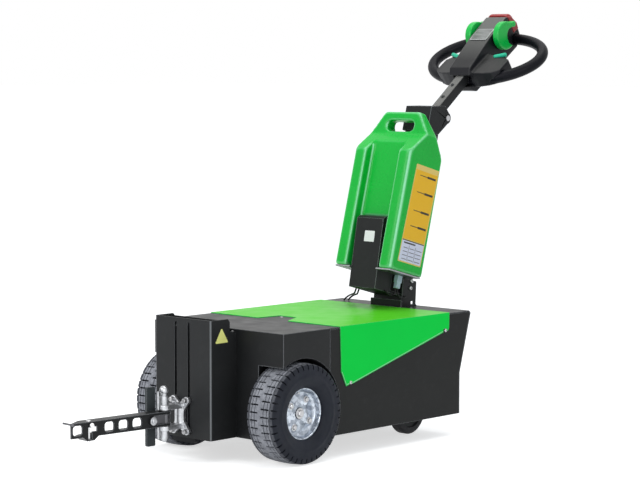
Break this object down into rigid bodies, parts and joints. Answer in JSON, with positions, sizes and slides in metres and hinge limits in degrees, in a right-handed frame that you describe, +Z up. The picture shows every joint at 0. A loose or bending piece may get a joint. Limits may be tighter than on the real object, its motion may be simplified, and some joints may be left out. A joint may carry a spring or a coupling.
{
  "type": "electric tow tug",
  "caption": "Walk-behind battery tow tug: drive wheels in arches at the hitch end, castors under the tail, leaning mast with battery pack, tilting tiller with grip loop.",
  "frame": {"origin": "on the floor under the middle of the whole tug's bounding box", "axes": "+X towards the hitch and drawbar, +Y towards the tug's right side with the tiller behind, +Z up"},
  "size_m": [1.67, 0.508, 1.1596],
  "materials": {
    "black_paint": "satin powder coat",
    "black_steel": "matt powder coat",
    "green_paint": "satin powder coat",
    "green_plastic": "satin moulded",
    "motor_grey": "painted",
    "steel": "plain",
    "tyre_rubber": "matt",
    "zinc": "zinc plated",
    "castor_rubber": "matt",
    "chrome_cast": "bright",
    "tray_alu": "plain",
    "connector_grey": "matt",
    "cable_black": "matt",
    "grip_black": "satin",
    "head_black": "fine grain",
    "button_red": "gloss",
    "button_green": "gloss"
  },
  "bodies": {
    "chassis": {"base_plate": "black_steel", "front_housing": "black_paint", "rear_panel": "black_paint", "deck_cover": "green_paint", "castor_beam": "black_steel", "drive_unit": "motor_grey", "hitch_tower": "black_paint", "mast_base": "black_paint", "mast_column": "black_paint", "mast_head": "black_paint", "battery_dock": "black_paint", "battery_tray": "tray_alu", "battery_pack": "green_plastic", "battery_connector": "connector_grey", "mast_cables": "cable_black", "tiller_pivot": "steel", "left_side_panel": "black_paint", "right_side_panel": "black_paint", "left_wheel_box": "black_steel", "right_wheel_box": "black_steel", "left_axle": "steel", "right_axle": "steel", "left_castor_mount": "zinc", "right_castor_mount": "zinc"},
    "hitch": {"hitch_carriage": "black_steel", "hitch_bracket": "chrome_cast", "hitch_bolts": "steel", "coupling_pin": "chrome_cast", "lock_rod": "chrome_cast"},
    "drawbar": {"drawbar": "black_paint", "drawbar_block": "steel", "drawbar_upright": "black_paint", "drawbar_end_pin": "chrome_cast"},
    "tiller": {"tiller_tube": "black_paint", "tiller_neck": "black_paint", "tiller_head": "head_black", "grip_loop": "grip_black", "drive_wings": "green_plastic", "belly_button": "button_red", "horn_buttons": "button_green"},
    "left_drive_wheel": {"left_tyre": "tyre_rubber", "left_rim": "zinc"},
    "left_castor_swivel": {"left_castor_fork": "zinc"},
    "left_castor_roller": {"left_castor_wheel": "castor_rubber"},
    "right_drive_wheel": {"right_tyre": "tyre_rubber", "right_rim": "zinc"},
    "right_castor_swivel": {"right_castor_fork": "zinc"},
    "right_castor_roller": {"right_castor_wheel": "castor_rubber"}
  },
  "joints": [
    {"name": "left_drive_spin", "type": "hinge", "parent": "chassis", "child": "left_drive_wheel", "pos_m": [0.30564, -0.205, 0.13], "axis": [0, 1, 0], "continuous": true},
    {"name": "left_castor_turn", "type": "hinge", "parent": "chassis", "child": "left_castor_swivel", "pos_m": [-0.19936, -0.118, 0.139], "axis": [0, 0, 1], "continuous": true},
    {"name": "left_castor_spin", "type": "hinge", "parent": "left_castor_swivel", "child": "left_castor_roller", "pos_m": [-0.23736, -0.118, 0.0625], "axis": [0, 1, 0], "continuous": true},
    {"name": "right_drive_spin", "type": "hinge", "parent": "chassis", "child": "right_drive_wheel", "pos_m": [0.30564, 0.205, 0.13], "axis": [0, 1, 0], "continuous": true},
    {"name": "right_castor_turn", "type": "hinge", "parent": "chassis", "child": "right_castor_swivel", "pos_m": [-0.19936, 0.118, 0.139], "axis": [0, 0, 1], "continuous": true},
    {"name": "right_castor_spin", "type": "hinge", "parent": "right_castor_swivel", "child": "right_castor_roller", "pos_m": [-0.23736, 0.118, 0.0625], "axis": [0, 1, 0], "continuous": true},
    {"name": "hitch_height", "type": "slide", "parent": "chassis", "child": "hitch", "axis": [0, 0, 1], "range_m": [0, 0.18]},
    {"name": "drawbar_swing", "type": "hinge", "parent": "hitch", "child": "drawbar", "pos_m": [0.53164, -0.037, 0.097], "axis": [0, 0, 1], "range_deg": [-20, 30]},
    {"name": "tiller_tilt", "type": "hinge", "parent": "chassis", "child": "tiller", "pos_m": [-0.49038, 0, 0.86096], "axis": [0, 1, 0], "range_deg": [-30, 30]}
  ]
}
